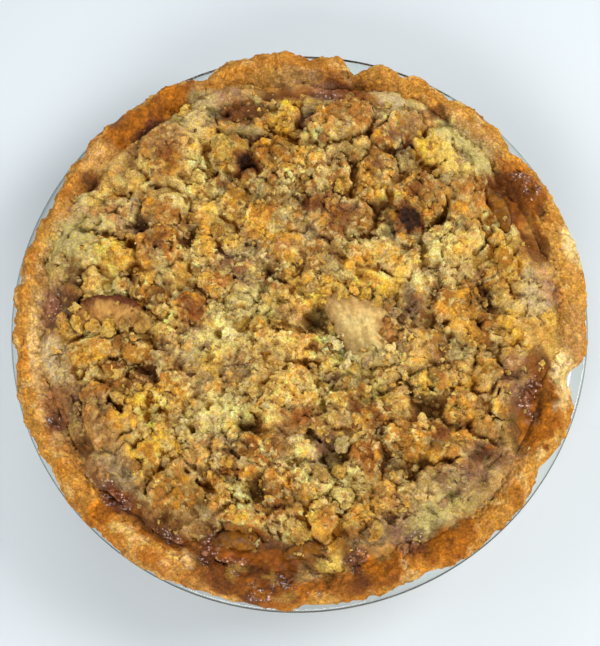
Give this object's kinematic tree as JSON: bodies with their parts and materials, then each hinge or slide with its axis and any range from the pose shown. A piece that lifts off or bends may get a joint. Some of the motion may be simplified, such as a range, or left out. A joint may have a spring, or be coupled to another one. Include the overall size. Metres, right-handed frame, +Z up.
{
  "type": "apple crumble pie",
  "caption": "Round apple pie with a crimped pastry rim, caramelised apple at the edge and a rough crumble top, baked in a clear glass pie plate with a flat flange.",
  "frame": {"origin": "centre of the dish's underside, on the surface it stands on", "axes": "+Z up, +Y away from the front of the pie, +X to its right"},
  "size_m": [0.242, 0.242, 0.0581],
  "materials": {
    "clear_glass": "clear, faintly green at the edge",
    "baked_pastry": "golden brown baked pastry, stands in for food",
    "caramel_apple": "glossy dark caramel and cooked apple, stands in for food",
    "baked_crumble": "dry golden to brown crumble, stands in for food",
    "cooked_apple": "soft pale cooked apple, stands in for food",
    "glazed_apple": "cooked apple glazed with caramel, stands in for food"
  },
  "bodies": {
    "root": {"glass_dish": "clear_glass", "pastry_crust": "baked_pastry", "apple_filling": "caramel_apple", "crumble_topping": "baked_crumble", "apple_slice_middle": "cooked_apple", "apple_slice_left": "cooked_apple", "apple_slice_right": "glazed_apple", "apple_slice_front_left": "glazed_apple", "apple_slice_front": "glazed_apple"}
  },
  "joints": []
}
